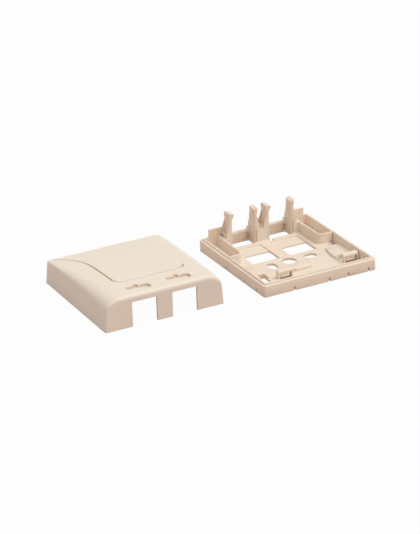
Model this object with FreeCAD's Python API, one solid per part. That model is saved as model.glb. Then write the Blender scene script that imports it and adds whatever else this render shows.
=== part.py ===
import FreeCAD, Part
import math
import os

# Surface mount jack box for two jacks: an open base with jack arms, and a
# cover that is taken off and lies beside it. Millimetres, +Z up. The origin
# is the middle of the base's underside, and the port side of the base is +Y.
# The cover lies with its port side to -Y. To close the box it is lifted,
# turned half round about Z and set down on the base's ledge.

# Footprint and base tray
box_x = 70.0
box_y = 74.0
base_h = 6.4
corner_r = 1.6
inner_r = 0.5
ledge_w = 1.45
lip_t = 0.9
lip_rise = 1.0
floor_t = 1.5
thin_t = 0.8

# Ports and jack arms
port_w = 14.6
port_pitch = 23.54
port_h = 13.96
port_wall_t = 2.5
arm_t = 1.2
arm_deep = 5.8
arm_back_gap = 1.5
arm_top_z = 22.1
hook_long = (1.3, 18.0)
hook_short = (0.45, 20.0)
hook_tip_z = 21.3
hook_tip_h = 0.9
head_pad = 0.5
head_h = 3.2
flare_top_z = 17.6
flare_front = (0.9, 1.7, 3.6)
flare_back = 0.7
notch_r = 1.2
notch_z = 8.2
root_z = 7.4
root_wall = 1.2
stop_w = 1.2
stop_l = 1.3
stop_z = 8.8
slit_by_arm_w = 0.8
slit_by_arm_in = 0.3
slit_by_arm_l = 0.8
corner_slot_w = 1.6
corner_slot_l = 1.2
panel_z = 11.9
panel_ends = (5.2, 3.9)

# Floor windows, slots and holes
window_w = 16.9
window_y0 = 1.7
window_l = 12.2
recess_l = 21.8
slot_w = 13.8
slot_y0 = 26.8
core_slot_w = 2.4
core_slot_l = 2.8
round_hole_r = 4.1
round_hole = (-1.0, -4.6)
v_slot = (-12.5, -6.0, 5.4, 8.0)
u_slot = (12.2, -4.4, 8.0, 5.2)
side_hole = (25.0, -18.9, 4.4, 7.8)
edge_hole = (31.6, 2.9, 1.7, 4.3)

# Raised pads on the floor
pad_rise = 0.9
middle_pad = (-0.15, -16.1, 12.5, 7.6)
middle_pad_flat = 0.7
pad_slit = (6.0, 0.8, 1.6, 0.9)
side_pad_edge = 21.7
side_pad_y = -13.4
side_pad_r = 30.0
side_pad_ends = (-19.6, -1.6)
pilot_r = 0.45
pilot_deep = 0.7
pilots = ((24.0, -15.5), (26.0, -15.3), (24.6, -4.0), (27.0, -4.2))

# Side pockets
pocket_x = 23.8
pocket_wall = 1.0
pocket_y = 5.9
pocket_r = 4.0

# Low anchor blocks for the cables, by the middle of each
anchor_x = (-13.8, 27.5)
anchor_w = 9.2
anchor_y = -23.2
anchor_l = 2.8
anchor_top_z = 6.3
anchor_r = 1.6
anchor_leg = 1.0
anchor_deep = 1.8
anchor_roof = 1.7

# Break-out cable entries: slits at the foot of the walls, grooves inside
slit_w = 1.0
slit_h = 2.3
groove_w = 1.3
wall_groove = 0.5
side_slits = (-28.5, -15.5, 5.3)
front_slits = (-16.2, 5.4, 17.4, 30.2)

# Cover
cover_front_z = 17.9
cover_back_z = 13.4
shoulder_front = (8.5, 6.8)
shoulder_back = (3.0, 0.6)
front_r = 2.2
edge_r = 0.5
draft = 0.08
cover_wall = 1.3
roof_t = 1.6
fit = 0.15
cover_offset = (-91.2, 5.7)

# Line and jack marks sunk into the cover's top
line_w = 0.7
line_deep = 0.45
line_x = -19.0
line_y = -18.4
line_r = 5.2
line_end_x = 17.4
line_end_turn = 75.0
line_bend_y = 9.0
line_bend_r = 45.0
mark_deep = 0.8
mark_y = -29.4
mark_bar = (-6.1, 0.6, -0.4, 2.9)
mark_key = (-0.9, 1.1, 0.0, 4.4)
mark_body = (0.6, 7.1, -2.7, 2.7)
mark_r = 2.2

# Beads inside the cover's side walls that snap into grooves in the base's lip
snap_y = (-22.0, 20.0)
snap_l = 6.0
snap_z = 0.5
snap_h = 0.5
snap_reach = 0.25
snap_gap = 0.05

half_x = box_x / 2
half_y = box_y / 2
wall_t = ledge_w + lip_t
lip_top = base_h + lip_rise
lip_back = half_y - ledge_w
bay_back = half_y - port_wall_t
arm_back = bay_back - arm_back_gap
arm_front = arm_back - arm_deep
bays = (-port_pitch / 2, port_pitch / 2)
arm_out = port_w / 2 + arm_t
web = port_pitch / 2 - arm_out
flare_w = web - notch_r
notch_mid_z = notch_z + notch_r
over = 1.0
quarter = math.sqrt(0.5)


def block(x0, x1, y0, y1, z0, z1):
    """A plain block between two corners."""
    return Part.makeBox(x1 - x0, y1 - y0, z1 - z0, FreeCAD.Vector(x0, y0, z0))


def centred(place, z0, z1):
    """A block given by its middle, width and length."""
    x, y, w, l = place
    return block(x - w / 2, x + w / 2, y - l / 2, y + l / 2, z0, z1)


def rounded(x0, x1, y0, y1, r, z0, z1):
    """A block whose upright corners are rounded."""
    body = block(x0, x1, y0, y1, z0, z1)
    upright = [e for e in body.Edges if abs(e.Vertexes[0].Z - e.Vertexes[1].Z) > (z1 - z0) / 2]
    return body.makeFillet(r, upright)


def obround(place, z0, z1):
    """A slot with round ends, given by its middle, width and length."""
    x, y, w, l = place
    r = min(w, l) / 2 * 0.999
    return rounded(x - w / 2, x + w / 2, y - l / 2, y + l / 2, r, z0, z1)


def prism(points, push):
    """A straight-sided outline pushed along a vector."""
    corners = [FreeCAD.Vector(*p) for p in points]
    return Part.Face(Part.makePolygon(corners + corners[:1])).extrude(FreeCAD.Vector(*push))


def mirrored(shape):
    """The same shape on the other side of the YZ plane."""
    return shape.mirror(FreeCAD.Vector(0, 0, 0), FreeCAD.Vector(1, 0, 0))


def turned(shape):
    """The same shape turned half round about Z."""
    copy = shape.copy()
    copy.rotate(FreeCAD.Vector(0, 0, 0), FreeCAD.Vector(0, 0, 1), 180)
    return copy


def both_sides(shapes):
    """The shapes and their mirror images across the YZ plane."""
    return shapes + [mirrored(s) for s in shapes]


def fused(shapes):
    """One shape out of several that overlap or touch."""
    return shapes[0].multiFuse(shapes[1:]) if len(shapes) > 1 else shapes[0]


def inset_block(inset, r, z0, z1):
    """The base's footprint, drawn in by a distance."""
    x, y = half_x - inset, half_y - inset
    return rounded(-x, x, -y, y, max(r, inner_r), z0, z1)


def tray():
    """Floor, outer wall with its ledge, and the lip that the cover fits over."""
    body = inset_block(0, corner_r, 0, base_h)
    lip = inset_block(ledge_w, corner_r - ledge_w, floor_t, lip_top)
    hollow = inset_block(wall_t, inner_r, floor_t, lip_top + over)
    body = body.fuse(lip).cut(hollow)
    spans = [(b - port_w / 2, b + port_w / 2) for b in bays]
    low = [block(*span, bay_back - over, half_y, base_h, lip_top + over) for span in spans]
    thick = [block(*span, bay_back, lip_back, 0, base_h) for span in spans]
    return body.cut(low).fuse(thick)


def floor_cuts():
    """Windows, slots and holes through the floor, and the thin floor round them."""
    cuts = []
    for b in bays:
        x0, x1 = b - window_w / 2, b + window_w / 2
        cuts.append(block(x0, x1, window_y0, window_y0 + recess_l, thin_t, floor_t + over))
        cuts.append(block(x0, x1, window_y0, window_y0 + window_l, -over, floor_t + over))
        cuts.append(block(b - slot_w / 2, b + slot_w / 2, slot_y0, bay_back, -over, floor_t + over))
        x0 = b - slot_w / 2 - core_slot_w / 2
        cuts.append(block(x0, x0 + core_slot_w, arm_front - core_slot_l, arm_front, -over, floor_t + over))
    cuts.append(Part.makeCylinder(round_hole_r, floor_t + 2 * over, FreeCAD.Vector(*round_hole, -over)))
    cuts.append(obround(v_slot, -over, floor_t + over))
    cuts.append(obround(u_slot, -over, floor_t + over))
    sides = [centred(edge_hole, -over, floor_t + over), centred(side_hole, -over, floor_t + over)]
    return cuts + both_sides(sides)


def middle_pad_shape():
    """Raised pad with round ends and a flat front."""
    x, y, w, l = middle_pad
    pad = obround(middle_pad, floor_t - thin_t, floor_t + pad_rise)
    front = y - l / 2
    flat = block(x - w, x + w, front - over, front + middle_pad_flat, 0, floor_t + 2 * over)
    dx, dy, slit_x, slit_y = pad_slit
    return pad.cut(flat).cut(centred((x + dx, y + dy, slit_x, slit_y), 0, floor_t + 2 * over))


def side_pad_shape():
    """Raised pad between the side wall and a wide arc, with its pilot holes."""
    y0, y1 = side_pad_ends
    top = floor_t + pad_rise
    area = block(side_pad_edge, half_x - ledge_w, y0, y1, floor_t - thin_t, top)
    middle = FreeCAD.Vector(side_pad_edge + side_pad_r, side_pad_y, 0)
    pad = area.common(Part.makeCylinder(side_pad_r, top + over, middle))
    holes = []
    for x, y in pilots:
        holes.append(Part.makeCylinder(pilot_r, pilot_deep + over, FreeCAD.Vector(x, y, top - pilot_deep)))
    holes.append(centred(side_hole, 0, top + over))
    return pad.cut(holes)


def pocket():
    """Side pocket: a wall from the arm's root, round a wide corner to the side wall."""
    x1 = half_x - ledge_w
    y1 = bay_back
    outer = rounded(pocket_x, x1 + pocket_r, pocket_y - pocket_wall / 2, y1 + pocket_r, pocket_r, 0, root_z)
    r = max(pocket_r - pocket_wall, inner_r)
    inner = rounded(pocket_x + pocket_wall, x1 + pocket_r + over, pocket_y + pocket_wall / 2,
                    y1 + pocket_r + over, r, -over, root_z + over)
    return outer.cut(inner).common(block(0, x1, 0, y1 + wall_t / 2, 0, root_z))


def anchor(x):
    """Low block with a rounded brow over its open front."""
    x0, x1 = x - anchor_w / 2, x + anchor_w / 2
    body = block(x0, x1, anchor_y, anchor_y + anchor_l, 0, anchor_top_z)
    brow = [e for e in body.Edges if e.BoundBox.YMax < anchor_y + fit and e.BoundBox.ZMin > floor_t]
    return body.makeFillet(anchor_r, brow)


def anchor_hollow(x):
    """The anchor's pocket, which runs down through the floor."""
    x0, x1 = x - anchor_w / 2 + anchor_leg, x + anchor_w / 2 - anchor_leg
    return block(x0, x1, anchor_y - fit, anchor_y + anchor_deep, -over, anchor_top_z - anchor_roof)


def arm(bay, side):
    """Jack arm: a blade with a hook over the bay, a head and a flared root that is cored out."""
    reach, under_z = hook_long if side < 0 else hook_short
    face = bay + side * port_w / 2
    out = face + side * arm_t
    foot = out + side * flare_w
    profile = [
        (face, 0),
        (face, under_z),
        (face - side * reach, hook_tip_z - hook_tip_h),
        (face - side * reach, hook_tip_z),
        (out + side * head_pad, arm_top_z),
        (out + side * head_pad, arm_top_z - head_h),
        (out, arm_top_z - head_h - head_pad),
        (out, flare_top_z),
        (foot, notch_mid_z),
        (foot, 0),
    ]
    blade = prism([(x, arm_front, z) for x, z in profile], (0, lip_back - arm_front, 0))
    back = [
        (arm_back, arm_top_z),
        (lip_back - lip_t, panel_z),
        (lip_back + over, panel_z),
        (lip_back + over, arm_top_z + over),
        (arm_back, arm_top_z + over),
    ]
    x0 = min(face, foot) - 2 * reach
    behind = prism([(x0, y, z) for y, z in back], (box_x / 2, 0, 0))
    return blade.cut(behind).cut(flare_core(out, foot))


def flare_core(out, foot):
    """Hollow in the outer side of an arm's flare, between a bowed front rib and the back edge."""

    def at(y, z):
        return FreeCAD.Vector(out, y, z)

    def back_y(z):
        lean = (lip_back - lip_t - arm_back) / (arm_top_z - panel_z)
        return arm_back + (arm_top_z - z) * lean - flare_back

    low, middle, high = [arm_front + d for d in flare_front]
    z0, z1 = notch_mid_z, flare_top_z
    front = Part.Arc(at(low, z0), at(middle, (z0 + z1) / 2), at(high, z1)).toShape()
    rest = Part.makePolygon([at(high, z1), at(back_y(z1), z1), at(back_y(z0), z0), at(low, z0)])
    return Part.Face(Part.Wire([front] + rest.Edges)).extrude(FreeCAD.Vector(2 * (foot - out), 0, 0))


def arm_roots():
    """Blocks that carry the arms, one in the middle and one by each pocket."""
    inner = web - flare_w
    middle = block(-inner, inner, arm_front, bay_back, 0, notch_mid_z)
    notch = Part.makeCylinder(notch_r, box_y, FreeCAD.Vector(0, 0, notch_mid_z), FreeCAD.Vector(0, 1, 0))
    side = block(bays[1] + arm_out, pocket_x + pocket_wall, arm_front, bay_back, 0, root_z)
    return fused([middle.cut(notch)] + both_sides([side]))


def root_cores():
    """Hollows under the roots, open below, that keep the walls even."""
    y0, y1 = arm_front + root_wall, bay_back - root_wall
    middle = block(-web, web, y0, y1, -over, root_z - root_wall)
    side = block(bays[1] + arm_out, pocket_x, y0, y1, -over, root_z - root_wall)
    return [middle] + both_sides([side])


def bay_details():
    """Stops on the low wall, and the slots beside the right arm of each bay."""
    stops = []
    slots = []
    for b in bays:
        for side in (-1, 1):
            x = b + side * port_w / 2
            x0, x1 = min(x, x - side * stop_w), max(x, x - side * stop_w)
            stops.append(block(x0, x1, bay_back - stop_l, lip_back, base_h - lip_rise, stop_z))
        x = b + port_w / 2
        y1 = bay_back + corner_slot_l
        slots.append(block(x - corner_slot_w, x, bay_back, y1, floor_t, base_h - lip_rise))
        x += slit_by_arm_in
        top = notch_z + slit_by_arm_l / 2
        slots.append(block(x, x + slit_by_arm_w, arm_front, arm_front + slit_by_arm_l, floor_t, top))
    return stops, slots


def panel(end):
    """Raised stretch of the lip from the outer arm to a distance from the corner."""
    x0, x1 = bays[1] + arm_out, half_x - end
    return block(x0, x1, lip_back - lip_t, lip_back, base_h - lip_rise, panel_z)


def break_outs():
    """Slits under the walls and grooves inside the side walls, where a cable enters."""
    cuts = []
    for y in side_slits:
        x = half_x - wall_t
        slit = block(x, half_x + over, y - slit_w / 2, y + slit_w / 2, -over, slit_h)
        y0, y1 = y - groove_w / 2, y + groove_w / 2
        cuts += both_sides([slit, block(x, x + wall_groove, y0, y1, floor_t + pad_rise, lip_top + over)])
    for x in front_slits:
        cuts.append(block(x - slit_w / 2, x + slit_w / 2, -half_y - over, wall_t - half_y, -over, slit_h))
    return cuts


def snaps(rim_z, gap):
    """Triangular beads that stand in from the cover's side walls, or with a gap their grooves."""
    x = half_x - cover_wall - draft * snap_z
    z = rim_z + snap_z
    h = snap_h / 2 + gap
    outline = [(x + wall_t, z + h), (x, z + h), (x - snap_reach - gap, z), (x, z - h), (x + wall_t, z - h)]
    l = snap_l / 2 + gap
    return both_sides([prism([(px, y - l, pz) for px, pz in outline], (0, 2 * l, 0)) for y in snap_y])


def make_base():
    """The whole base, one moulding."""
    stops, slots = bay_details()
    floor = tray().cut(floor_cuts())
    solids = [middle_pad_shape(), arm_roots()] + both_sides([side_pad_shape(), pocket()])
    solids += [mirrored(panel(panel_ends[0])), panel(panel_ends[1])]
    solids += [arm(b, side) for b in bays for side in (-1, 1)]
    solids += [anchor(x) for x in anchor_x] + stops
    cuts = slots + root_cores() + break_outs() + [anchor_hollow(x) for x in anchor_x]
    cuts += snaps(base_h, snap_gap)
    return floor.multiFuse(solids).cut(cuts).removeSplitter()


def top_z(y):
    """Height of the cover's top: it is level at the port side and bows down to the back."""
    return cover_front_z - (cover_front_z - cover_back_z) * ((y + half_y) / box_y) ** 2


def top_slope(y):
    """Fall of the top at one place along Y."""
    return -2 * (cover_front_z - cover_back_z) * (y + half_y) / box_y ** 2


def patch(net, weights):
    """Smooth face over a net of control points: stations along Y, spots across the section."""
    n, m = len(net), len(net[0])
    face = Part.BSplineSurface()
    face.buildFromPolesMultsKnots(net, [n, n], [m, m], [0, 1], [0, 1], False, False, n - 1, m - 1, weights)
    return face.toShape()


def run_edge(run, bend):
    """Straight edge between two points, or a bow over three; bend is the middle one's weight."""
    if len(run) == 2:
        return Part.makeLine(*run)
    bow = Part.BezierCurve()
    bow.setPoles(run)
    bow.setWeight(2, bend)
    return bow.toShape()


def section_runs(section, bottom, smooth):
    """Control points of one leaning section: each wall, each shoulder and the top."""
    y, lean, x, z, a, b = section

    def spot(px, pz):
        return FreeCAD.Vector(px - draft * pz, y - lean * pz, pz)

    foot, brow, ridge = spot(x, bottom), spot(x, z - b), spot(x - a, z)
    if smooth:
        right = [[foot, brow], [brow, spot(x, z), ridge]]
    else:
        bevel = spot(x - a * (1 - quarter), z - b * (1 - quarter))
        right = [[foot, brow], [brow, bevel], [bevel, ridge]]
    left = [[FreeCAD.Vector(-p.x, p.y, p.z) for p in run] for run in right]
    return right + left + [[ridge, left[-1][-1]]]


def stretch(sections, bottom, bend, smooth):
    """Faces over three control sections; bend is the middle one's weight."""
    faces = []
    runs = [section_runs(s, bottom, smooth) for s in sections]
    for net in zip(*runs):
        across = [1, quarter, 1] if len(net[0]) > 2 else [1, 1]
        faces.append(patch(net, [[u * v for v in across] for u in (1, bend, 1)]))
    right = [r[0][0] for r in runs]
    left = [FreeCAD.Vector(-p.x, p.y, p.z) for p in right[::-1]]
    ends = [Part.makeLine(right[-1], left[0]), Part.makeLine(left[-1], right[0])]
    faces.append(Part.Face(Part.Wire([run_edge(right, bend), ends[0], run_edge(left, bend), ends[1]])))
    return faces


def end_face(section, bottom, smooth):
    """Flat face that closes the port side or the back."""
    runs = section_runs(section, bottom, smooth)
    foot = runs[0][0]
    edges = [run_edge(run, quarter) for run in runs]
    edges.append(Part.makeLine(foot, FreeCAD.Vector(-foot.x, foot.y, foot.z)))
    return Part.Face(Part.Wire(Part.__sortEdges__(edges)))


def cover_body(side_in, top_in, bottom, smooth=True):
    """The cover's form, drawn in from the sides and from the top.

    The outside is smooth. The inside has its shoulders in two flats and a square port edge.
    """
    least = inner_r
    front_ab = [max(v - d, least) for v, d in zip(shoulder_front, (side_in, top_in))]
    back_ab = [max(v - d, least) for v, d in zip(shoulder_back, (side_in, top_in))]

    def control(y, z, drop=0, draw=0, lean=0):
        share = (y + half_y) / box_y
        a, b = [f + (k - f) * share for f, k in zip(front_ab, back_ab)]
        return y, lean, half_x - side_in - draw, z - top_in - drop, a - draw, b - drop

    r = max(front_r - side_in, least)
    end, y1 = side_in - half_y, half_y - side_in
    y0 = end + r if smooth else end
    bow = cover_front_z - (cover_front_z - cover_back_z) * (y0 + half_y) * (y1 + half_y) / box_y ** 2
    long = [control(y0, top_z(y0)), control((y0 + y1) / 2, bow, lean=draft / 2),
            control(y1, top_z(y1), lean=draft)]
    faces = stretch(long, bottom, 1, smooth)
    first = long[0]
    if smooth:
        tip = top_z(y0) - top_slope(y0) * r
        first = control(end, tip, r, min(edge_r, r * 0.9))
        faces += stretch([first, control(end, tip), long[0]], bottom, quarter, smooth)
    faces += [end_face(first, bottom, smooth), end_face(long[2], bottom, smooth)]
    shell = Part.makeShell(faces)
    shell.sewShape()
    body = Part.makeSolid(shell)
    return body if body.Volume > 0 else body.reversed()


def decorative_line():
    """Strip that follows the line on the top: up from the back, round two corners."""
    z = cover_back_z / 2
    r = line_r
    r2 = line_bend_r
    turn = math.asin(min((half_y + over - line_bend_y) / r2, 1))
    end = math.radians(line_end_turn)

    def at(x, y):
        return FreeCAD.Vector(x, y, z)

    def arc(cx, cy, radius, a0, a1):
        p = [at(cx + radius * math.cos(a), cy + radius * math.sin(a)) for a in (a0, (a0 + a1) / 2, a1)]
        return Part.Arc(*p).toShape()

    path = Part.Wire([
        arc(line_x - r2, line_bend_y, r2, turn, 0),
        Part.makeLine(at(line_x, line_bend_y), at(line_x, line_y + r)),
        arc(line_x + r, line_y + r, r, math.pi, math.pi * 1.5),
        Part.makeLine(at(line_x + r, line_y), at(line_end_x, line_y)),
        arc(line_end_x, line_y + r, r, math.pi * 1.5, math.pi * 1.5 + end),
    ])
    start = path.OrderedVertexes[0].Point
    across = FreeCAD.Vector(math.cos(turn), math.sin(turn), 0) * (line_w / 2)
    up = FreeCAD.Vector(0, 0, cover_front_z)
    section = Part.makePolygon([start - across, start + across, start + across + up, start - across + up,
                                start - across])
    return path.makePipeShell([section], True, False)


def jack_mark(x):
    """Sunk mark over a port: a narrow bar, a key above it and a body with round corners."""
    parts = []
    for x0, x1, y0, y1 in (mark_bar, mark_key):
        parts.append(block(x + x0, x + x1, mark_y + y0, mark_y + y1, 0, cover_front_z + over))
    x0, x1, y0, y1 = mark_body
    parts.append(rounded(x + x0, x + x1, mark_y + y0, mark_y + y1, mark_r, 0, cover_front_z + over))
    return fused(parts)


def make_cover():
    """The whole cover, one moulding, drawn as it lies."""
    shell = cover_body(0, 0, 0).cut(cover_body(cover_wall, roof_t, -over, smooth=False))
    y0, y1 = -half_y - over, front_r + cover_wall - half_y
    ports = [block(b - port_w / 2, b + port_w / 2, y0, y1, -over, port_h) for b in bays]
    line = decorative_line().cut(cover_body(0, line_deep, 0))
    marks = fused([jack_mark(b) for b in bays]).cut(cover_body(0, mark_deep, 0))
    inner = cover_body(cover_wall / 2, roof_t, 0)
    beads = [turned(bead).common(inner) for bead in snaps(0, 0)]
    cover = shell.multiFuse(beads).cut(ports + [line, marks]).removeSplitter()
    cover.translate(FreeCAD.Vector(cover_offset[0], cover_offset[1], 0))
    return cover


os.makedirs("parts", exist_ok=True)
make_base().exportStep("parts/base.step")
make_cover().exportStep("parts/cover.step")
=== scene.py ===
import math

import bmesh
import bpy
import numpy as np
from mathutils import Matrix, Vector


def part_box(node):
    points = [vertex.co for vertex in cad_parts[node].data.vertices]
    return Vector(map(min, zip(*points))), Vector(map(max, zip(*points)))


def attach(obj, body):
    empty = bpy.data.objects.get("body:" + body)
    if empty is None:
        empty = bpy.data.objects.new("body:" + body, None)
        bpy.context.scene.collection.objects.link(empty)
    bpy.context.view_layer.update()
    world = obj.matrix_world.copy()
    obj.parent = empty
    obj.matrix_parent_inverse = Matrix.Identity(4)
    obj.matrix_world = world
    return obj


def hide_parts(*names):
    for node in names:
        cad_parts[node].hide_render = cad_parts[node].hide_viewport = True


bl_info = {
    "name": "Jack box studio",
    "version": (1, 0, 0),
    "blender": (4, 5, 0),
    "location": "View3D > Sidebar > Jack box",
    "description": "Finishes the two mouldings of a surface mount jack box and lights them",
    "category": "Object",
}

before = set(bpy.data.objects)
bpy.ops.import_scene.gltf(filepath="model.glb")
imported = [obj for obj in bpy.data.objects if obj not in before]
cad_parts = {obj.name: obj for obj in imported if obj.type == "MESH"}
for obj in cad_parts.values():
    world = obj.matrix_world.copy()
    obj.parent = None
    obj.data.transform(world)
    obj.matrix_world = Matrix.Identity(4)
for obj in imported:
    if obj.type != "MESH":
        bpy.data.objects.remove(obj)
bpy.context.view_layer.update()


class PlasticLook(bpy.types.PropertyGroup):
    """Colour and texture of the moulded plastic."""

    base_colour: bpy.props.FloatVectorProperty(
        name="Base colour", description="Colour of the base's plastic, linear",
        subtype="COLOR", size=3, min=0, max=1, default=(0.86, 0.735, 0.605))
    cover_colour: bpy.props.FloatVectorProperty(
        name="Cover colour", description="Colour of the cover's plastic, linear",
        subtype="COLOR", size=3, min=0, max=1, default=(0.87, 0.765, 0.65))
    tint: bpy.props.FloatProperty(
        name="Tint", description="How far the colour drifts over a moulding",
        subtype="FACTOR", min=0, max=0.2, default=0.03)
    grain: bpy.props.FloatProperty(
        name="Grain", description="Size of the mould's fine texture",
        subtype="DISTANCE", min=0.00005, max=0.002, default=0.00035)
    grain_depth: bpy.props.FloatProperty(
        name="Grain depth", description="Depth of the mould's fine texture",
        subtype="DISTANCE", min=0, max=0.0001, default=0.000009)
    gloss: bpy.props.FloatProperty(
        name="Roughness", description="Roughness of the plastic",
        subtype="FACTOR", min=0, max=1, default=0.42)
    glow: bpy.props.FloatProperty(
        name="Glow", description="Share of the light that spreads inside the plastic",
        subtype="FACTOR", min=0, max=1, default=0.28)
    glow_reach: bpy.props.FloatProperty(
        name="Glow reach", description="How far the light spreads inside the plastic",
        subtype="DISTANCE", min=0, max=0.01, default=0.0015)


class EdgeLook(bpy.types.PropertyGroup):
    """How the mouldings' edges are finished."""

    edge_r: bpy.props.FloatProperty(
        name="Edge radius", description="Small radius on the sharp edges of the base and its flaps",
        subtype="DISTANCE", min=0, max=0.001, default=0.00012)
    sharp: bpy.props.FloatProperty(
        name="Sharp angle", description="Edges that turn further than this count as sharp",
        subtype="ANGLE", min=0, max=math.pi, default=math.radians(32))
    flat: bpy.props.FloatProperty(
        name="Flat angle", description="The base's faces that turn less than this are cut as one flat",
        subtype="ANGLE", min=0, max=math.pi, default=math.radians(0.2))
    weld: bpy.props.FloatProperty(
        name="Weld", description="Corners nearer than this become one",
        subtype="DISTANCE", min=0, max=0.0001, default=0.000002)


def length(name, description, default):
    """A size in metres that the sidebar can change."""
    return bpy.props.FloatProperty(
        name=name, description=description, subtype="DISTANCE", default=default)


class CoverForm(bpy.types.PropertyGroup):
    """Sizes of the curved cover; its length, width and greatest height come from the frame."""

    back_h: length("Back height", "Height of the cover at its back", 0.0134)
    shoulder_front_w: length("Front shoulder width", "Width of the round shoulders at the ports", 0.0085)
    shoulder_front_h: length("Front shoulder height", "Height of the round shoulders at the ports", 0.0068)
    shoulder_back_w: length("Back shoulder width", "Width of the round shoulders at the back", 0.003)
    shoulder_back_h: length("Back shoulder height", "Height of the round shoulders at the back", 0.0006)
    front_r: length("Front edge radius", "Radius of the edge over the ports", 0.0022)
    corner_r: length("Corner radius", "Radius of the upright corners by the ports", 0.0005)
    wall: length("Wall", "Thickness of the cover's walls", 0.0013)
    roof: length("Roof", "Thickness of the cover's top", 0.0016)
    roof_in: length("Roof inset", "How far inside the outline the top's full thickness begins", 0.005)
    draft: bpy.props.FloatProperty(
        name="Draft", description="How far the walls lean in for each unit of height",
        subtype="FACTOR", min=0, max=0.2, default=0.08)
    port_w: length("Port width", "Width of one port opening", 0.0146)
    port_pitch: length("Port pitch", "From one port's middle to the other's", 0.02354)
    port_h: length("Port height", "Height of the port openings", 0.01396)
    line_w: length("Line width", "Width of the sunk line on the top", 0.00125)
    line_deep: length("Line depth", "Depth of the sunk line on the top", 0.0007)
    mark_deep: length("Mark depth", "Depth of the sunk marks over the ports", 0.00135)
    mark_edge: length("Mark edge", "Width of the slope at a mark's rim", 0.0003)
    bead_l: length("Bead length", "Length of the snap beads inside the side walls", 0.006)
    bead_h: length("Bead height", "Height of the snap beads", 0.0005)
    bead_reach: length("Bead reach", "How far the snap beads stand out", 0.00025)


class BaseForm(bpy.types.PropertyGroup):
    """Sizes of the base's raised pads, and of the flaps in the fronts of its two cable anchors."""

    pad_top: length("Pad top", "Height of the raised pads as the frame has them", 0.0024)
    pad_rise: length("Pad rise", "How much further the pads stand up", 0.0006)
    hole_side: length("Hole side", "Outer side of the edge holes as the frame has it", 0.03245)
    wall_face: length("Wall face", "Inner face of the side walls, where the edge holes end", 0.0324)
    flap_left: length("Flap left gap", "Gap between a flap and its anchor's left leg", 0.00025)
    flap_right: length("Flap right gap", "Gap between a flap and its anchor's right leg", 0.0011)
    flap_foot: length("Flap foot gap", "Gap under a flap", 0.0006)
    flap_thick: length("Flap thickness", "Thickness of a flap", 0.0009)
    flap_back: length("Flap set back", "How far a flap lies behind the anchor's face", 0.0002)


class StageLook(bpy.types.PropertyGroup):
    """Camera, floor and light."""

    target: bpy.props.FloatVectorProperty(
        name="Target", description="Point that the camera looks at",
        subtype="TRANSLATION", size=3, default=(-0.04057, 0.01392, 0.0))
    azimuth: bpy.props.FloatProperty(
        name="Azimuth", description="Camera's turn about the upright axis",
        subtype="ANGLE", default=-0.480096)
    elevation: bpy.props.FloatProperty(
        name="Elevation", description="Camera's height angle",
        subtype="ANGLE", default=0.423801)
    roll: bpy.props.FloatProperty(
        name="Roll", description="Camera's turn about its own line of sight",
        subtype="ANGLE", default=-0.0315987)
    distance: bpy.props.FloatProperty(
        name="Distance", description="From the camera to its target",
        subtype="DISTANCE", default=1.265832)
    lens: bpy.props.FloatProperty(
        name="Lens", description="Focal length in millimetres", default=155.48)
    floor: bpy.props.FloatProperty(
        name="Floor", description="Length of the floor's side", subtype="DISTANCE", default=6.0)
    white: bpy.props.FloatProperty(
        name="White", description="Share of plain white in the floor that the camera sees",
        subtype="FACTOR", min=0, max=1, default=0.97)
    floor_paint: bpy.props.FloatVectorProperty(
        name="Floor paint", description="Colour that the floor throws back on the pieces, linear",
        subtype="COLOR", size=3, min=0, max=1, default=(0.6, 0.46, 0.42))
    sun: bpy.props.FloatVectorProperty(
        name="Light direction", description="Where the soft light comes from",
        subtype="DIRECTION", size=3, default=(0.38, -0.27, 1.0))
    sun_spread: bpy.props.FloatProperty(
        name="Light spread", description="Width of the soft light as an angle",
        subtype="ANGLE", min=0, max=math.pi, default=math.radians(50))
    top_light: bpy.props.FloatProperty(
        name="Top light", description="Strength of the soft light from above", default=1.68)
    sky: bpy.props.FloatProperty(
        name="Sky", description="Strength of the even light from all round", default=0.54)


class Value:
    """A socket that is written as a number: arithmetic on it adds Math nodes."""

    def __init__(self, nodes, socket):
        self.nodes = nodes
        self.socket = socket

    def calc(self, operation, *others):
        """This value and the others through one Math node."""
        return self.nodes.add("ShaderNodeMath", {"operation": operation}, (self, *others))

    def __add__(self, other):
        return self.calc("ADD", other)

    def __sub__(self, other):
        return self.calc("SUBTRACT", other)

    def __rsub__(self, other):
        return self.nodes.add("ShaderNodeMath", {"operation": "SUBTRACT"}, (other, self))

    def __mul__(self, other):
        return self.calc("MULTIPLY", other)

    __radd__ = __add__
    __rmul__ = __mul__


class Nodes:
    """The node tree of one material or world, emptied first."""

    def __init__(self, owner):
        owner.use_nodes = True
        self.tree = owner.node_tree
        self.tree.nodes.clear()

    def add(self, kind, settings=None, inputs=(), output=0):
        """Adds a node: its settings first, then its sockets, by place or by name."""
        node = self.tree.nodes.new(kind)
        for key, value in (settings or {}).items():
            setattr(node, key, value)
        pairs = inputs.items() if isinstance(inputs, dict) else enumerate(inputs)
        for key, value in pairs:
            if isinstance(value, Value):
                self.tree.links.new(value.socket, node.inputs[key])
            else:
                node.inputs[key].default_value = value
        return Value(self, node.outputs[output]) if node.outputs else None

    def noise(self, place, scale, detail):
        """Soft noise between 0 and 1, with scale features to the metre."""
        return self.add("ShaderNodeTexNoise", {}, {"Vector": place, "Scale": scale, "Detail": detail}, "Fac")

    def mix(self, share, low, high):
        """The colour that lies this share of the way from low to high."""
        return self.add("ShaderNodeMix", {"data_type": "RGBA"}, {0: share, 6: low, 7: high}, 2)


WHITE = (1, 1, 1, 1)

# Features to the metre of the slow drift of colour, the patches of gloss and the flow lines
DRIFT = 28.0
PATCH = 110.0
FLOW = 260.0

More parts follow.
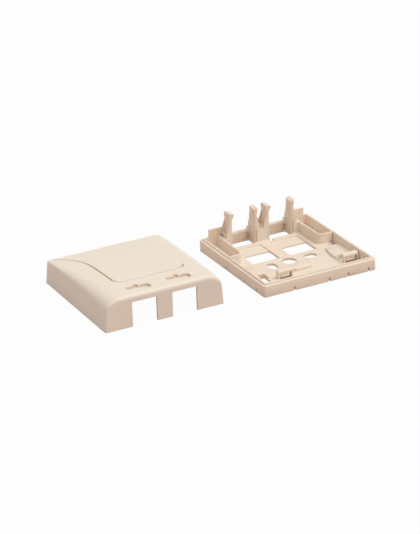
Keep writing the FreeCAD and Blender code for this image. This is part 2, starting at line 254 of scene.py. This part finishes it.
# Flow lines run along Y, so their pattern is stretched there
FLOW_STRETCH = (1.0, 0.12, 1.0)

# Pits to one grain
PITS = 0.8

# Shares of drift and flow in the colour, and of grain and pits in the height
COLOUR_SHARES = (0.8, 0.2)
HEIGHT_SHARES = (0.65, 0.35)

# How far the roughness swings with patch, flow and grain, whose middle is a half
ROUGH_SWINGS = (0.16, 0.08, 0.1)
NOISE_MIDDLE = 0.5

# Shares of the tint that each primary loses where the colour is deepest
TINT_LOSS = (0.6, 1.0, 1.5)

# Painted shade: share of each primary left where a place lies deep in a sunk line or mark
SUNK_PAINTED_SHADE = (0.6, 0.47, 0.35)

# How far each primary spreads inside the plastic, as shares of the glow's reach
GLOW_SPREAD = (1.0, 0.55, 0.35)


def plastic(name, colour, look):
    """Moulded plastic: spark-eroded grain with pits, a slow drift of colour, gloss with faint flow lines.

    The mesh attribute that sink writes is painted shade: how deep a place lies in a sunk line or mark,
    where the colour is darkened and warmed to stand in for the shade in the recess.
    """
    material = bpy.data.materials.new(name)
    n = Nodes(material)
    place = n.add("ShaderNodeTexCoord", output="Object")
    stretched = n.add("ShaderNodeVectorMath", {"operation": "MULTIPLY"}, (place, FLOW_STRETCH))
    drift = n.noise(place, DRIFT, detail=2.0)
    patch = n.noise(place, PATCH, detail=3.0)
    flow = n.noise(stretched, FLOW, detail=2.0)
    grain = n.noise(place, 1 / look.grain, detail=3.0)
    pits = n.add("ShaderNodeTexVoronoi", {}, {"Vector": place, "Scale": PITS / look.grain}, "Distance")

    pale = [min(c * (1 + look.tint), 1) for c in colour] + [1]
    deep = [c * (1 - look.tint * loss) for c, loss in zip(colour, TINT_LOSS)] + [1]
    # Colour of the painted shade deep in the sunk line and marks
    sunk = [c * left for c, left in zip(colour, SUNK_PAINTED_SHADE)] + [1]
    body = n.mix(drift * COLOUR_SHARES[0] + flow * COLOUR_SHARES[1], deep, pale)
    # How much painted shade a place has, from the mesh attribute that sink writes
    painted_shade = n.add("ShaderNodeAttribute", {"attribute_name": "painted_shade"}, output="Fac")

    rough = look.gloss
    for signal, swing in zip((patch, flow, grain), ROUGH_SWINGS):
        rough = rough + (signal - NOISE_MIDDLE) * swing
    height = grain * HEIGHT_SHARES[0] + pits * HEIGHT_SHARES[1]
    bump = n.add("ShaderNodeBump", {}, {
        "Strength": 1.0, "Distance": look.grain_depth, "Height": height}, "Normal")
    shader = n.add("ShaderNodeBsdfPrincipled", {}, {
        "Base Color": n.mix(painted_shade, body, sunk), "Roughness": rough, "Normal": bump,
        "IOR": 1.5, "Specular IOR Level": 0.4, "Subsurface Weight": look.glow,
        "Subsurface Scale": look.glow_reach, "Subsurface Radius": GLOW_SPREAD})
    n.add("ShaderNodeOutputMaterial", {}, {"Surface": shader})
    return material


def stage_white(name, share, colour):
    """White that keeps a soft shadow: part of what the camera or a reflection sees is plain white."""
    material = bpy.data.materials.new(name)
    n = Nodes(material)
    rays = ("Is Camera Ray", "Is Glossy Ray", "Is Transmission Ray")
    camera, glossy, transmission = [n.add("ShaderNodeLightPath", output=ray) for ray in rays]
    mask = (camera + glossy + transmission).calc("MINIMUM", 1.0) * share
    paint = n.add("ShaderNodeBsdfDiffuse", {}, {"Color": (*colour, 1)})
    glow = n.add("ShaderNodeEmission", {}, {"Color": WHITE, "Strength": 1.0})
    n.add("ShaderNodeOutputMaterial", {}, {"Surface": n.add("ShaderNodeMixShader", {}, (mask, paint, glow))})
    return material


# Path of the sunk line: up the left from the corner turn, with a bend that grows towards the back
LINE_X = -0.019
LINE_Y = -0.0184
LINE_R = 0.0052
LINE_END_X = 0.0174
LINE_END_TURN = math.radians(75)
LINE_BEND_Y = 0.009
LINE_BEND_X = 0.0135
LINE_BEND_POWER = 2.6

# A mark's bar, key and body, as their lowest and highest X and Y from its own middle
MARK_Y = -0.0294
MARK_BAR = (-0.0061, 0.0006, -0.0004, 0.0029)
MARK_KEY = (-0.0009, 0.0011, 0.0, 0.0044)
MARK_BODY = (0.0006, 0.0071, -0.0027, 0.0027)
MARK_R = 0.0022

# A mark's painted shade fades over this width from the foot of its wall, down to the least painted shade
MARK_SHADE = 0.0006
MARK_LEAST_PAINTED_SHADE = 0.1

# Steps of the cover's surface: fine across its top and from the ports past the line's corner, then coarser
FINE = 0.00035
COARSE = 0.0005
FINE_TO_Y = -0.011

# The top's even steps reach this far to either side, and these many join them to a shoulder
EVEN_TO_X = 0.024
STRIP_STEPS = 16

# Steps round the edge over the ports, round a shoulder and round a flap's corner
FRONT_STEPS = 6
SHOULDER_STEPS = 12
FLAP_STEPS = 6

# Rows of an end wall above and below its belt line
WALL_ROWS = (2, 6)

# A corner counts as the top's where its normal points up by more than this
TOP_FACES_UP = 0.8

# Snap beads inside the cover's side walls
BEAD_Y = (-0.022, 0.02)
BEAD_Z = 0.0005

# Cable anchors on the base's floor, and the openings in their fronts
ANCHOR_X = (-0.0138, 0.0275)
ANCHOR_FACE_Y = -0.0232
ANCHOR_OPEN_W = 0.0072
ANCHOR_OPEN_Z = 0.0046
FLOOR_Z = 0.0015
FLAP_R = 0.0006


def line_share(x, y, half_y, form):
    """Round-bottomed groove, 0 to 1: falls with the square of the distance to the path's nearest piece.

    The bend moves left by a power of how far it is on its way to the back.
    """
    cy = LINE_Y + LINE_R
    left = np.hypot(x - LINE_X - LINE_R, y - cy)
    right = np.hypot(x - LINE_END_X, y - cy)
    turn = np.arctan2(x - LINE_END_X, cy - y)
    way = half_y - LINE_BEND_Y
    t = np.clip((y - LINE_BEND_Y) / way, 0, 1)
    slope = LINE_BEND_X / way * LINE_BEND_POWER * t ** (LINE_BEND_POWER - 1)
    pieces = [
        (y > LINE_BEND_Y, (x - LINE_X + LINE_BEND_X * t ** LINE_BEND_POWER) / np.hypot(1, slope)),
        ((y >= cy) & (y <= LINE_BEND_Y), x - LINE_X),
        ((x < LINE_X + LINE_R) & (y < cy), left - LINE_R),
        ((x >= LINE_X + LINE_R) & (x <= LINE_END_X), y - LINE_Y),
        ((turn > 0) & (turn < LINE_END_TURN), right - LINE_R),
    ]
    away = np.min([np.where(near, np.abs(off), np.inf) for near, off in pieces], axis=0)
    return np.clip(1 - (away / (form.line_w / 2)) ** 2, 0, 1)


def box_distance(x, y, sides, r):
    """Signed distance to a rectangle with corner radius r: negative inside."""
    x0, x1, y0, y1 = sides
    dx = np.abs(x - (x0 + x1) / 2) - (x1 - x0) / 2 + r
    dy = np.abs(y - (y0 + y1) / 2) - (y1 - y0) / 2 + r
    return np.hypot(np.maximum(dx, 0), np.maximum(dy, 0)) + np.minimum(np.maximum(dx, dy), 0) - r


def mark_share(x, y, form):
    """Flat-bottomed recess, 0 to 1, and its painted shade: the union of bar, key and body, sloped at its
    rim.

    The painted shade is strongest at the foot of the recess's wall, where shade gathers, and fades over its
    floor.
    """
    away = np.full(x.shape, np.inf)
    for side in (-1, 1):
        u, v = x - side * form.port_pitch / 2, y - MARK_Y
        for sides, r in ((MARK_BAR, 0), (MARK_KEY, 0), (MARK_BODY, MARK_R)):
            away = np.minimum(away, box_distance(u, v, sides, r))
    share = np.clip(0.5 - away / form.mark_edge, 0, 1)
    return share, share * np.clip(1 + away / MARK_SHADE, MARK_LEAST_PAINTED_SHADE, 1)


def even(start, stop, step):
    """Even places from start up to, but without, stop."""
    return np.linspace(start, stop, max(round(abs(stop - start) / step), 1), endpoint=False)


def quarter(steps):
    """Angles from level to upright in even steps."""
    return np.linspace(0, math.pi / 2, steps + 1)


def crown(y, half_y, top, form):
    """Height of the cover's top, which falls with the square of the way from the ports to the back."""
    share = (y + half_y) / (2 * half_y)
    return top - (top - form.back_h) * share ** 2


def cover_grid(form, half_x, half_y, top):
    """The cover's walls, shoulders and top as one grid of stations along Y by places across.

    The top's height is its crown. Each shoulder is a quarter ellipse whose size runs evenly from
    front to back. The side walls lean in with height. Each station leans towards the ports with
    height, evenly more up to the back wall's full draft. Over the front radius the top drops and
    the walls draw in by one minus the sine of the angle.
    """
    turn = quarter(FRONT_STEPS)[:-1]
    y0 = form.front_r - half_y
    y = np.concatenate([form.front_r * (1 - np.cos(turn)) - half_y,
                        even(y0, FINE_TO_Y, FINE), even(FINE_TO_Y, half_y, COARSE), [half_y]])[:, None]
    fall = np.concatenate([1 - np.sin(turn), np.zeros(len(y) - FRONT_STEPS)])[:, None]
    drop, draw = form.front_r * fall, form.corner_r * fall
    share = (y + half_y) / (2 * half_y)
    z = crown(y, half_y, top, form) - drop
    a = form.shoulder_front_w + (form.shoulder_back_w - form.shoulder_front_w) * share - draw
    b = form.shoulder_front_h + (form.shoulder_back_h - form.shoulder_front_h) * share - drop
    wide = half_x - draw
    wall_z = (z - b) * np.linspace(0, 1, sum(WALL_ROWS) + 1)
    bow = quarter(SHOULDER_STEPS)[1:]
    bow_z = z - b + b * np.sin(bow)
    bow_x = wide - a + a * np.cos(bow) - form.draft * bow_z
    strip = np.linspace(0, 1, STRIP_STEPS + 1)[1:]
    strip_x = bow_x[:, -1:] + (EVEN_TO_X - bow_x[:, -1:]) * strip
    jambs = [side * form.port_pitch / 2 + end * form.port_w / 2 for side in (1, -1) for end in (1, -1)]
    edges = [EVEN_TO_X, *jambs, -EVEN_TO_X]
    flat_x = np.concatenate([even(m, n, FINE) for m, n in zip(edges, edges[1:])])[1:]
    right_x = np.hstack([wide - form.draft * wall_z, bow_x, strip_x])
    right_z = np.hstack([wall_z, bow_z, z + 0 * strip])
    x = np.hstack([right_x, flat_x + 0 * y, -right_x[:, ::-1]])
    z = np.hstack([right_z, z + 0 * flat_x, right_z[:, ::-1]])
    y = y - form.draft * np.clip((y - y0) / (half_y - y0), 0, 1) * z
    return x, y, z


def end_wall(x, z, belt, form):
    """Grid that hangs from one end's outline to the foot: rows to the belt line, then to the ground.

    The belt line is level as far as the ports reach. Beyond them it runs to a row of the side
    walls, and the places move out with depth by the draft, both evenly more up to the side wall.
    """
    upper, lower = WALL_ROWS
    inner = (form.port_pitch + form.port_w) / 2
    lean = np.clip((np.abs(x) - inner) / (x[0] - inner), 0, 1)
    belt = belt + (z[0] * lower / (upper + lower) - belt) * lean
    above = [z + (belt - z) * k / upper for k in range(upper)]
    below = [belt * (1 - k / lower) for k in range(lower + 1)]
    down = np.array(above + below)
    return x + np.sign(x) * lean * form.draft * (z - down), down


def quads(rows, columns, start=0, flip=False):
    """Faces of a grid whose corners are numbered row by row from start."""
    corner = np.arange(rows * columns).reshape(rows, columns) + start
    around = [corner[:-1, :-1], corner[1:, :-1], corner[1:, 1:], corner[:-1, 1:]]
    return np.stack(around[::-1] if flip else around, axis=-1)


def cover_shell(form, half_x, half_y, top):
    """The cover's outside: the main grid and two end walls, the front one open at the ports.

    The back wall's belt line is at half its height.
    """
    x, y, z = cover_grid(form, half_x, half_y, top)
    walls = sum(WALL_ROWS)
    span = slice(walls, x.shape[1] - walls)
    front_x, front_z = end_wall(x[0, span], z[0, span], form.port_h, form)
    back_x, back_z = end_wall(x[-1, span], z[-1, span], form.back_h / 2, form)
    places = np.concatenate([
        np.stack([x, y, z], axis=-1).reshape(-1, 3),
        np.stack([front_x, 0 * front_x - half_y, front_z], axis=-1).reshape(-1, 3),
        np.stack([back_x, half_y - form.draft * back_z, back_z], axis=-1).reshape(-1, 3)])
    front = quads(*front_x.shape, x.size, flip=True)
    between = (front_x[0, 1:] + front_x[0, :-1]) / 2
    shut = np.abs(np.abs(between) - form.port_pitch / 2) > form.port_w / 2
    back = quads(*back_x.shape, x.size + front_x.size)
    upper = WALL_ROWS[0]
    faces = [quads(*x.shape), front[:upper], front[upper:, shut], back]
    return places, np.concatenate([part.reshape(-1, 4) for part in faces])


def merged(mesh, near):
    """The same mesh with corners that are nearer than this made one."""
    work = bmesh.new()
    work.from_mesh(mesh)
    bmesh.ops.remove_doubles(work, verts=work.verts, dist=near)
    work.to_mesh(mesh)
    work.free()
    return mesh


def joined(mesh, places, faces):
    """The same mesh with these places and faces added to it."""
    extra = bpy.data.meshes.new("extra")
    extra.from_pydata(places.tolist(), [], faces)
    work = bmesh.new()
    work.from_mesh(mesh)
    work.from_mesh(extra)
    work.to_mesh(mesh)
    work.free()
    bpy.data.meshes.remove(extra)
    return mesh


def linked(name, data):
    """A new object for a mesh, a camera or a lamp, in the scene."""
    thing = bpy.data.objects.new(name, data)
    bpy.context.scene.collection.objects.link(thing)
    return thing


def settled(piece):
    """The piece with its modifiers worked into its mesh."""
    graph = bpy.context.evaluated_depsgraph_get()
    mesh = bpy.data.meshes.new_from_object(piece.evaluated_get(graph))
    mesh.name = piece.name
    piece.modifiers.clear()
    piece.data = mesh
    return piece


def shaded(mesh, edges):
    """The same mesh, smooth apart from its sharp edges."""
    mesh.shade_smooth()
    mesh.set_sharp_from_angle(angle=edges.sharp)
    return mesh


def softened(piece, edges):
    """Gives the piece's sharp edges their small radius, and returns the modifier that does it."""
    bevel = piece.modifiers.new("soft_edges", "BEVEL")
    bevel.width = edges.edge_r
    bevel.segments = 2
    bevel.limit_method = "ANGLE"
    bevel.angle_limit = edges.sharp
    bevel.harden_normals = True
    return bevel


def read(things, key):
    """One vector for each thing, as rows."""
    rows = np.empty(len(things) * 3)
    things.foreach_get(key, rows)
    return rows.reshape(-1, 3)


def sink(mesh, middle, half, form):
    """Lowers the top's corners by the line and the marks, and notes on the mesh their painted shade."""
    _, half_y, top = half
    places = read(mesh.vertices, "co")
    x, y, z = (places - middle).T
    up = read(mesh.vertex_normals, "vector")[:, 2] > TOP_FACES_UP
    outside = up & (z > crown(y, half_y, top, form) - form.wall / 2)
    line = np.where(outside, line_share(x, y, half_y, form), 0)
    mark, painted_shade = np.where(outside, mark_share(x, y, form), 0)
    places[:, 2] -= form.line_deep * line + form.mark_deep * mark
    mesh.vertices.foreach_set("co", places.ravel())
    # Painted shade for the sunk line and marks: the line's depth share, or the mark's share that is darkest
    # at the foot of its wall
    mesh.attributes.new("painted_shade", "FLOAT", "POINT").data.foreach_set("value", np.maximum(line, painted_shade))


def trimmed(mesh, outer, middle, half, form):
    """Keeps the inner corners inside the walls' inner faces, under the top and above the ground.

    The first corners, as many as outer says, are the outside. Near a corner of the box the others
    would lie in the neighbouring wall, so they move to its inner face.
    """
    half_x, half_y, top = half
    places = read(mesh.vertices, "co") - middle
    x, y, z = places[outer:].T
    z = np.clip(z, 0, crown(y, half_y, top, form) - form.wall)
    lean = form.wall * math.hypot(1, form.draft) + form.draft * z
    x = np.clip(x, lean - half_x, half_x - lean)
    y = np.clip(y, form.wall - half_y, half_y - lean)
    places[outer:] = np.column_stack([x, y, z])
    mesh.vertices.foreach_set("co", (places + middle).ravel())
    return mesh


def walled(piece, middle, half, form, near):
    """The outside's mesh with its walls, inwards and thicker on top, and their inner faces trimmed."""
    half_x, half_y, _ = half
    inset = np.abs(read(piece.data.vertices, "co") - middle)
    roof = (inset[:, 0] < half_x - form.roof_in) & (inset[:, 1] < half_y - form.roof_in)
    piece.vertex_groups.new(name="roof").add(np.flatnonzero(roof).tolist(), 1, "REPLACE")
    wall = piece.modifiers.new("wall", "SOLIDIFY")
    wall.thickness = form.roof
    wall.vertex_group = "roof"
    wall.thickness_vertex_group = form.wall / form.roof
    wall.offset = -1
    wall.use_even_offset = True
    outer = len(inset)
    return merged(trimmed(settled(piece).data, outer, middle, half, form), near)


def beads(form, half_x):
    """Four snap beads: a ridge between two slopes, rooted in the side wall and carried along Y."""
    wall = half_x - form.wall - form.draft * BEAD_Z
    root, rise = wall + form.wall / 2, form.bead_h / 2
    outline = np.array([
        (root, rise), (wall, rise), (wall - form.bead_reach, 0), (wall, -rise), (root, -rise)])
    ring = len(outline)
    places, faces = [], []
    for side in (-1, 1):
        for y in BEAD_Y:
            corner = np.arange(ring) + ring * len(places)
            for end in (-1, 1):
                along = np.full(ring, y + end * form.bead_l / 2)
                places.append(np.column_stack([side * outline[:, 0], along, outline[:, 1] + BEAD_Z]))
            after = np.roll(corner, -1)
            around = np.stack([corner, after, after + ring, corner + ring], axis=-1)
            loops = around.tolist() + [corner[::-1].tolist(), (corner + ring).tolist()]
            faces += loops if side > 0 else [loop[::-1] for loop in loops]
    return np.concatenate(places), faces


def made_cover(form, edges):
    """The cover's outside, given its walls inwards, its snap beads and then its line and marks."""
    low, high = [Vector(corner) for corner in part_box("cover")]
    middle = np.array([(low.x + high.x) / 2, (low.y + high.y) / 2, 0])
    half = ((high.x - low.x) / 2, (high.y - low.y) / 2, high.z)
    places, faces = cover_shell(form, *half)
    mesh = bpy.data.meshes.new("cover_moulding")
    mesh.from_pydata((places + middle).tolist(), [], faces.tolist())
    piece = linked(mesh.name, merged(mesh, edges.weld))
    mesh = walled(piece, middle, half, form, edges.weld)
    bead_places, bead_faces = beads(form, half[0])
    joined(mesh, bead_places + middle, bead_faces)
    sink(mesh, middle, half, form)
    shaded(mesh, edges)
    return piece


def flap(x, form):
    """Places and faces of one anchor's flap: its outline, rounded at the foot, carried back along Y."""
    x0, x1 = x - ANCHOR_OPEN_W / 2 + form.flap_left, x + ANCHOR_OPEN_W / 2 - form.flap_right
    z0, z1, r = form.flap_foot + FLOOR_Z, ANCHOR_OPEN_Z, FLAP_R
    turn = quarter(FLAP_STEPS)
    right = np.column_stack([x1 - r + r * np.sin(turn), z0 + r - r * np.cos(turn)])
    left = np.column_stack([x0 + r - r * np.cos(turn), z0 + r - r * np.sin(turn)])
    outline = np.concatenate([right, [(x1, z1), (x0, z1)], left])
    ring = len(outline)
    front = ANCHOR_FACE_Y + form.flap_back
    rows = [np.column_stack([outline[:, 0], np.full(ring, y), outline[:, 1]])
            for y in (front, front + form.flap_thick)]
    corner = np.arange(ring)
    after = np.roll(corner, -1)
    around = np.stack([corner, corner + ring, after + ring, after], axis=-1)
    return np.concatenate(rows), around.tolist() + [corner.tolist(), (corner + ring)[::-1].tolist()]


def made_flaps(form, edges):
    """Both flaps as one piece, with soft edges."""
    mesh = bpy.data.meshes.new("anchor_flaps")
    for x in ANCHOR_X:
        joined(mesh, *flap(x, form))
    piece = linked(mesh.name, shaded(mesh, edges))
    softened(piece, edges)
    return piece


def trued(mesh, form, near):
    """Lifts every corner at the pads' level, and draws the edge holes' outer sides in to the wall's face.

    The walls at that level are upright, so they only grow.
    """
    places = read(mesh.vertices, "co")
    places[np.abs(places[:, 2] - form.pad_top) < near, 2] += form.pad_rise
    x = places[:, 0]
    at_side = np.abs(np.abs(x) - form.hole_side) < near
    places[at_side, 0] = np.sign(x[at_side]) * form.wall_face
    mesh.vertices.foreach_set("co", places.ravel())
    return merged(mesh, near)


def recut(mesh, flat):
    """The same mesh with each of its flats cut into even triangles."""
    work = bmesh.new()
    work.from_mesh(mesh)
    bmesh.ops.dissolve_limit(work, angle_limit=flat, verts=work.verts, edges=work.edges)
    bmesh.ops.triangulate(work, faces=work.faces, ngon_method="BEAUTY")
    work.to_mesh(mesh)
    work.free()
    return mesh


def made_base(form, edges):
    """A copy of the frame's base: corners merged, pads raised, flats evenly cut and edges eased."""
    mesh = merged(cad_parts["base"].data.copy(), edges.weld)
    mesh.name = "base_moulding"
    mesh.materials.clear()
    shaded(recut(trued(mesh, form, edges.weld), edges.flat), edges)
    piece = linked(mesh.name, mesh)
    bevel = softened(piece, edges)
    bevel.use_clamp_overlap = False
    bevel.loop_slide = False
    return piece


def finished(piece, node, colour, look):
    """Gives the moulding its plastic, puts it on its body and in place of its solid."""
    material = plastic(node + "_plastic", colour, look)
    piece.data.materials.append(material)
    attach(piece, node)
    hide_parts(node)
    return material


class JACKBOX_OT_base(bpy.types.Operator):
    """Finish the base moulding and make its anchors' flaps."""

    bl_idname = "jackbox.base"
    bl_label = "Base"

    def execute(self, context):
        look = context.scene.jackbox_plastic
        form, edges = context.scene.jackbox_base, context.scene.jackbox_edges
        material = finished(made_base(form, edges), "base", look.base_colour, look)
        flaps = made_flaps(form, edges)
        flaps.data.materials.append(material)
        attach(flaps, "base")
        return {"FINISHED"}


class JACKBOX_OT_cover(bpy.types.Operator):
    """Make the cover moulding."""

    bl_idname = "jackbox.cover"
    bl_label = "Cover"

    def execute(self, context):
        look = context.scene.jackbox_plastic
        piece = made_cover(context.scene.jackbox_cover, context.scene.jackbox_edges)
        finished(piece, "cover", look.cover_colour, look)
        return {"FINISHED"}


# The picture is 420 by 534, and its long side is the sensor's 36 mm
SENSOR = 36.0

# How far the camera sees, in metres
CAMERA_REACH = 50

# How far the floor lies under the two pieces
FLOOR_DROP = 0.0001


class JACKBOX_OT_stage(bpy.types.Operator):
    """Set the camera, the white floor and the soft light."""

    bl_idname = "jackbox.stage"
    bl_label = "Stage"

    def execute(self, context):
        look = context.scene.jackbox_stage
        self.place_camera(context.scene, look)
        self.lay_floor(look)
        self.light(context.scene, look)
        return {"FINISHED"}

    @staticmethod
    def place_camera(scene, look):
        """Camera on a sphere about its target, rolled about its line of sight."""
        az, el = look.azimuth, look.elevation
        back = Vector((math.sin(az) * math.cos(el), -math.cos(az) * math.cos(el), math.sin(el)))
        right = Vector((0, 0, 1)).cross(back).normalized()
        up = back.cross(right)
        c, s = math.cos(look.roll), math.sin(look.roll)
        axes = (right * c + up * s, up * c - right * s, back)
        place = Matrix([list(row) for row in zip(*axes)]).to_4x4()
        place.translation = Vector(look.target) + back * look.distance
        data = bpy.data.cameras.new("camera")
        data.lens = look.lens
        data.sensor_width = SENSOR
        data.clip_end = CAMERA_REACH
        camera = linked("camera", data)
        camera.matrix_world = place
        scene.camera = camera

    @staticmethod
    def lay_floor(look):
        """One square, white, just under the two pieces."""
        half = look.floor / 2
        mesh = bpy.data.meshes.new("floor")
        corners = [(-half, -half, 0), (half, -half, 0), (half, half, 0), (-half, half, 0)]
        mesh.from_pydata(corners, [], [(0, 1, 2, 3)])
        mesh.materials.append(stage_white("floor_white", look.white, look.floor_paint))
        floor = linked("floor", mesh)
        floor.location.z = -FLOOR_DROP

    @staticmethod
    def light(scene, look):
        """Even sky all round, white to the camera, and one wide soft light from above."""
        world = bpy.data.worlds.new("studio")
        n = Nodes(world)
        seen = n.add("ShaderNodeLightPath", output="Is Camera Ray")
        sky = n.add("ShaderNodeBackground", {}, {"Color": WHITE, "Strength": look.sky})
        white = n.add("ShaderNodeBackground", {}, {"Color": WHITE, "Strength": 1.0})
        n.add("ShaderNodeOutputWorld", {}, {"Surface": n.add("ShaderNodeMixShader", {}, (seen, sky, white))})
        scene.world = world
        lamp = bpy.data.lights.new("top_light", "SUN")
        lamp.energy = look.top_light
        lamp.angle = look.sun_spread
        top = linked("top_light", lamp)
        top.matrix_world = Vector(look.sun).to_track_quat("Z", "Y").to_matrix().to_4x4()


class JACKBOX_PT_panel(bpy.types.Panel):
    """The jack box's pieces, sizes and colours."""

    bl_idname = "JACKBOX_PT_panel"
    bl_label = "Jack box"
    bl_space_type = "VIEW_3D"
    bl_region_type = "UI"
    bl_category = "Jack box"

    def draw(self, context):
        for operator in OPERATORS:
            self.layout.operator(operator.bl_idname)
        for name in GROUPS:
            group = getattr(context.scene, name)
            for key in group.__annotations__:
                self.layout.prop(group, key)


GROUPS = {
    "jackbox_plastic": PlasticLook, "jackbox_edges": EdgeLook,
    "jackbox_cover": CoverForm, "jackbox_base": BaseForm, "jackbox_stage": StageLook}
OPERATORS = (JACKBOX_OT_stage, JACKBOX_OT_base, JACKBOX_OT_cover)
CLASSES = (*GROUPS.values(), *OPERATORS, JACKBOX_PT_panel)


def register():
    for cls in CLASSES:
        bpy.utils.register_class(cls)
    for name, cls in GROUPS.items():
        setattr(bpy.types.Scene, name, bpy.props.PointerProperty(type=cls))


def unregister():
    for name in GROUPS:
        delattr(bpy.types.Scene, name)
    for cls in reversed(CLASSES):
        bpy.utils.unregister_class(cls)


def main():
    """Makes the whole picture."""
    register()
    bpy.context.scene.view_settings.view_transform = "Standard"
    bpy.ops.jackbox.stage()
    bpy.ops.jackbox.base()
    bpy.ops.jackbox.cover()
    bpy.context.view_layer.update()


if __name__ == "__main__":
    main()
